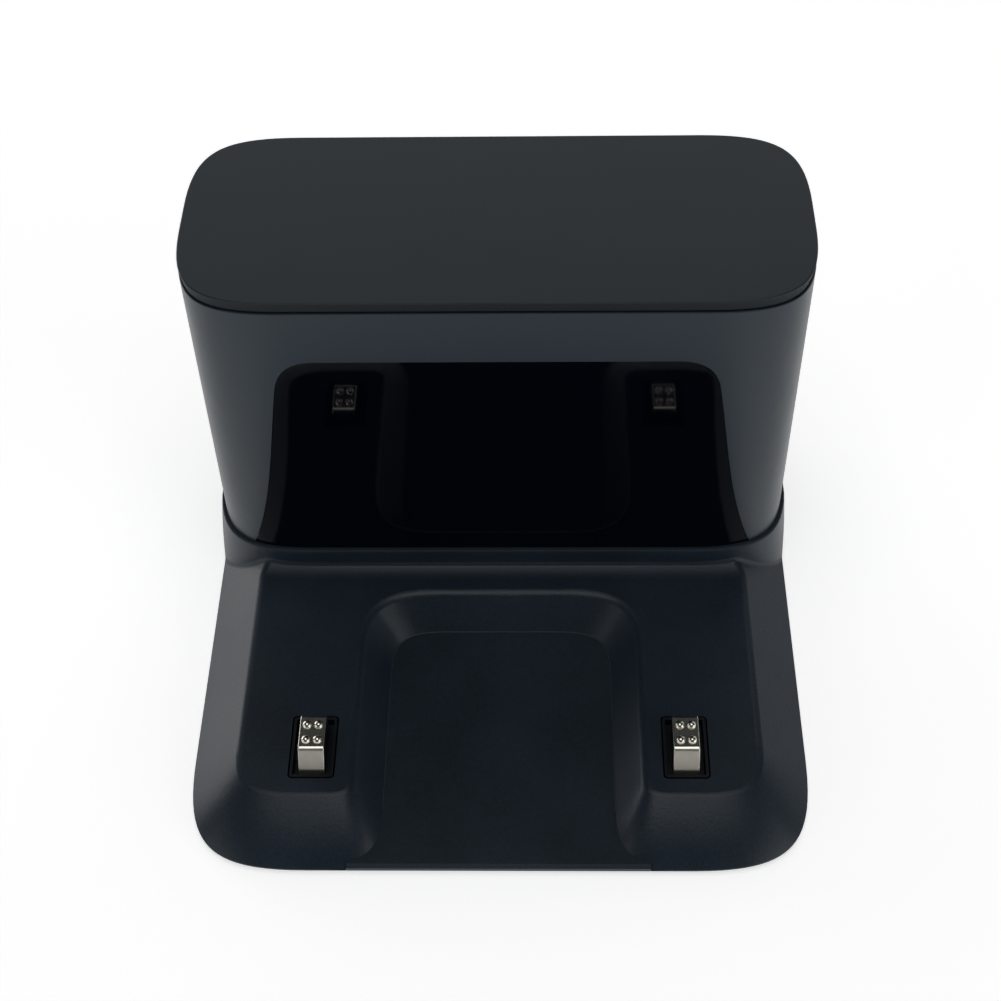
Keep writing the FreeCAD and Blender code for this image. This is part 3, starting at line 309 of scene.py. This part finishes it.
def foot_rubber(node):
    """Soft matte rubber with a fine pebble and round grip grooves about the middle of its foot."""
    material, shader, start = new_finish(node + "_rubber", IOR=RUBBER_IOR)
    place = place_on(start)
    low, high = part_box(node)
    about_middle = start.node("Mapping", None, {"Vector": place, "Location": -(low + high) / 2})
    rings = start.node("TexWave", {"wave_type": "RINGS", "rings_direction": "Z"},
                       {"Vector": about_middle, "Scale": WAVE_PERIOD / GRIP_SPACING}, output="Fac")
    grooves = spread(start, rings, *GRIP_SHOULDER, 0.0, 1.0)
    pebble = noise(start, place, size=0.5 * MM)
    start.plug(mix(start, pebble, *RUBBER), shader.inputs["Base Color"])
    start.plug(spread(start, pebble, *NOISE_CORE, *RUBBER_DULLNESS), shader.inputs["Roughness"])
    start.plug(bump(start, grooves + PEBBLE_SHARE * pebble, depth=GRIP_DEPTH), shader.inputs["Normal"])
    return material


def inlet_plastic():
    """Black socket moulding around a nickel-plated pin."""
    material, shader, start = new_finish("inlet_plastic", IOR=PLASTIC_IOR)
    place = place_on(start)
    low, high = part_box("power_inlet")
    across = coordinate(start, place, "X") - (low.x + high.x) / 2
    up = coordinate(start, place, "Z") - (low.z + high.z) / 2
    pin = spread(start, across * across + up * up, PIN_RADIUS ** 2, (PIN_EDGE * PIN_RADIUS) ** 2, 1.0, 0.0)
    grain = noise(start, place, size=0.4 * MM, detail=3.0)
    plastic = mix(start, grain, *SOCKET_BLACK)
    start.plug(mix(start, pin, plastic, PIN), shader.inputs["Base Color"])
    start.plug(pin, shader.inputs["Metallic"])
    start.plug(SOCKET_ROUGHNESS - (SOCKET_ROUGHNESS - PIN_ROUGHNESS) * pin, shader.inputs["Roughness"])
    start.plug(bump(start, grain, depth=0.008 * MM), shader.inputs["Normal"])
    return material


def tinted_resin():
    """Dark tinted resin of the infrared lamps."""
    material, shader, start = new_finish("emitter_resin", IOR=RESIN_IOR)
    swirl = noise(start, place_on(start), size=2 * MM)
    start.plug(mix(start, swirl, *RESIN), shader.inputs["Base Color"])
    start.plug(spread(start, swirl, *NOISE_CORE, *RESIN_POLISH), shader.inputs["Roughness"])
    return material


def solder_mask():
    """Green board with faint copper tracks under the mask."""
    material, shader, start = new_finish("board_mask", IOR=PLASTIC_IOR)
    upright = start.node("Mapping", None, {"Vector": place_on(start), "Rotation": (math.pi / 2, 0, 0)})
    width, height = TRACK_PITCH
    tracks = start.node("TexBrick", {"offset": 0.5}, {
        "Vector": upright, "Color1": grey(0.0), "Color2": grey(0.0), "Mortar": grey(1.0), "Scale": 1.0,
        "Mortar Size": TRACK_WIDTH, "Brick Width": width, "Row Height": height}, output="Fac")
    start.plug(mix(start, tracks, *MASK_AND_TRACK), shader.inputs["Base Color"])
    start.plug(MASK_ROUGHNESS - TRACK_SHINE * tracks, shader.inputs["Roughness"])
    start.plug(bump(start, tracks, depth=TRACK_HEIGHT), shader.inputs["Normal"])
    return material


def dress_dock():
    """Gives every CAD node its finish."""
    holder = moulded_plastic("holder_plastic")
    insulation = moulded_plastic("lead_insulation")
    nickel = nickel_plate()
    steel = zinc_steel()
    dress(moulded_plastic("housing_plastic"), "tower_shell")
    # the lid's edge is darkened in colour: painted shade
    dress(moulded_plastic("lid_plastic", LID_EDGE, LID_EDGE_PAINTED_SHADE), "top_lid")
    dress(moulded_plastic("base_plastic", LEDGE_CREST), "base_cover")
    dress(moulded_plastic("underside_plastic"), "bottom_plate")
    dress(moulded_plastic("inner_plastic"), "board_frame")
    dress(polished_window(), "front_window")
    dress(inlet_plastic(), "power_inlet")
    dress(insulation, "inlet_lead")
    dress(steel, "ballast_plate", "plate_screws", "tower_screws", "board_screws")
    dress(solder_mask(), "control_board")
    dress(tinted_resin(), "emitter_left", "emitter_centre", "emitter_right")
    for side in LEFT_AND_RIGHT:
        dress(holder, "contact_holder_" + side, "contact_plunger_" + side)
        dress(nickel, "contact_strip_" + side, "contact_terminal_" + side)
        dress(steel, "contact_spring_" + side)
        dress(insulation, "contact_lead_" + side)
        for end in ("front", "back"):
            foot = "foot_" + end + "_" + side
            dress(foot_rubber(foot), foot)


def run_channel_seam():
    """Fine bead where the channel's walls meet its floor, which catches the light as a thin line; its plastic
    is lighter than the base, a painted highlight on top of the light it catches.
    """
    half, back, front, height = SEAM_FOOT
    bend = SEAM_REACH
    pull = SEAM_REACH * (1 - SEAM_PULL)
    route = [                   # point, then the handles before and after it
        ((-half, front), None, None),
        ((-half, back - bend), None, (-half, back - pull)),
        ((-half + bend, back), (-half + pull, back), None),
        ((half - bend, back), None, (half - pull, back)),
        ((half, back - bend), (half, back - pull), None),
        ((half, front), None, None),
    ]
    bpy.ops.object.select_all(action="DESELECT")
    bpy.ops.curve.primitive_bezier_curve_add(location=(0, 0, 0))
    seam = bpy.context.object
    seam.name = "channel_seam"
    seam.data.bevel_depth = SEAM_RADIUS
    seam.data.bevel_resolution = SEAM_FACETS
    seam.data.resolution_u = SEAM_STEPS
    seam.data.use_fill_caps = True
    spline = seam.data.splines[0]
    spline.bezier_points.add(len(route) - len(spline.bezier_points))
    for i, (point, (at, before, after)) in enumerate(zip(spline.bezier_points, route)):
        previous = route[max(i - 1, 0)][0]
        following = route[min(i + 1, len(route) - 1)][0]
        point.handle_left_type = point.handle_right_type = "FREE"
        point.co = (*at, height)
        point.handle_left = (*(before or Vector(at).lerp(Vector(previous), STRAIGHT_HANDLE)), height)
        point.handle_right = (*(after or Vector(at).lerp(Vector(following), STRAIGHT_HANDLE)), height)
    bpy.ops.object.convert(target="MESH")
    bpy.ops.object.shade_smooth()
    seam.data.materials.append(moulded_plastic("seam_highlight_plastic"))
    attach(seam, "dock")


def wind_springs():
    """Coil springs under the contacts, in the place and size of the CAD springs; the real ones shorten as the
    contacts go down.
    """
    for side in LEFT_AND_RIGHT:
        node = "contact_spring_" + side
        low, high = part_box(node)
        foot = Vector(((low.x + high.x) / 2, (low.y + high.y) / 2, low.z))
        coil_radius = (high.x - low.x - SPRING_WIRE) / 2
        rise = high.z - low.z - SPRING_WIRE
        bpy.ops.object.select_all(action="DESELECT")
        bpy.ops.mesh.primitive_circle_add(vertices=SPRING_FACETS, radius=SPRING_WIRE / 2,
                                          rotation=(math.pi / 2, 0, 0))
        spring = bpy.context.object
        spring.name = "coil_" + side
        bpy.ops.object.transform_apply(rotation=True)
        bpy.ops.object.mode_set(mode="EDIT")
        bpy.ops.transform.translate(value=(coil_radius, 0, SPRING_WIRE / 2))
        bpy.ops.object.mode_set(mode="OBJECT")
        bpy.ops.object.modifier_add(type="SCREW")
        screw = spring.modifiers[-1]
        screw.iterations = SPRING_TURNS
        screw.screw_offset = rise / SPRING_TURNS
        screw.steps = screw.render_steps = SPRING_STEPS
        bpy.ops.object.modifier_apply(modifier=screw.name)
        bpy.ops.object.mode_set(mode="EDIT")
        bpy.ops.mesh.select_all(action="SELECT")
        bpy.ops.mesh.fill_holes(sides=0)
        bpy.ops.mesh.select_all(action="SELECT")
        bpy.ops.mesh.normals_make_consistent(inside=False)
        bpy.ops.object.mode_set(mode="OBJECT")
        spring.location = foot
        bpy.ops.object.transform_apply(location=True)
        bpy.ops.object.shade_smooth_by_angle()
        spring.data.materials.append(NODES[node].material_slots[0].material)
        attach(spring, "dock")
        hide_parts(node)
        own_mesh(spring)


def lay_floor():
    """Plain pale floor under the dock, which glows white out to the horizon."""
    bpy.ops.object.select_all(action="DESELECT")
    bpy.ops.mesh.primitive_plane_add(size=2 * FLOOR_REACH, location=(0, 0, 0))
    floor = bpy.context.object
    floor.name = "floor"
    material, shader, start = new_finish("floor_paint", Base_Color=grey(FLOOR_TONE),
                                         Roughness=FLOOR_ROUGHNESS, Emission_Strength=FLOOR_GLOW)
    place = place_on(start)
    across = coordinate(start, place, "X")
    along = coordinate(start, place, "Y")
    near, far = FLOOR_FADE
    share = spread(start, across * across + along * along, near ** 2, far ** 2, 0.0, 1.0)
    start.plug(mix(start, share, grey(1.0), grey(FAR_GLOW)), shader.inputs["Emission Color"])
    floor.data.materials.append(material)


def hang_lights():
    """Soft boxes, and a room with a white horizon, pale walls and a dim ceiling."""
    for name, (place, target, width, height, brightness) in SOFTBOXES.items():
        lamp = bpy.data.lights.new(name, "AREA")
        lamp.shape = "RECTANGLE"
        lamp.size = width
        lamp.size_y = height
        lamp.energy = brightness * math.pi * width * height
        holder = bpy.data.objects.new(name, lamp)
        holder.location = place
        holder.rotation_euler = (Vector(target) - Vector(place)).to_track_quat("-Z", "Y").to_euler()
        holder.visible_camera = False
        bpy.context.scene.collection.objects.link(holder)
    world = bpy.data.worlds.new("room")
    world.use_nodes = True
    background = world.node_tree.nodes["Background"]
    background.inputs["Color"].default_value = grey(1.0)
    start = Value(world.node_tree)
    height = coordinate(start, start.node("TexCoord", output="Generated"), "Z")
    walls = spread(start, height, *WALL_TOP, WALL_LIGHT, ROOM_LIGHT)
    strip = spread(start, height, *HORIZON_TOP, HORIZON_LIGHT - WALL_LIGHT, 0.0)
    start.plug(walls + strip, background.inputs["Strength"])
    bpy.context.scene.world = world
    bpy.context.scene.view_settings.view_transform = "Standard"


def set_camera():
    """Camera at the photograph's place and angle."""
    lens = bpy.data.cameras.new("photo_camera")
    lens.lens = CAMERA_LENS
    lens.sensor_width = CAMERA_SENSOR
    lens.clip_start, lens.clip_end = CAMERA_RANGE
    camera = bpy.data.objects.new("photo_camera", lens)
    turn = Matrix.Rotation(-math.radians(CAMERA_YAW), 4, "Z")
    tip = Matrix.Rotation(math.radians(90.0 - CAMERA_PITCH), 4, "X")
    roll = Matrix.Rotation(math.radians(CAMERA_ROLL), 4, "Z")
    camera.matrix_world = Matrix.Translation(CAMERA_PLACE) @ turn @ tip @ roll
    bpy.context.scene.collection.objects.link(camera)
    bpy.context.scene.camera = camera


dress_dock()
run_channel_seam()
wind_springs()
lay_floor()
hang_lights()
set_camera()
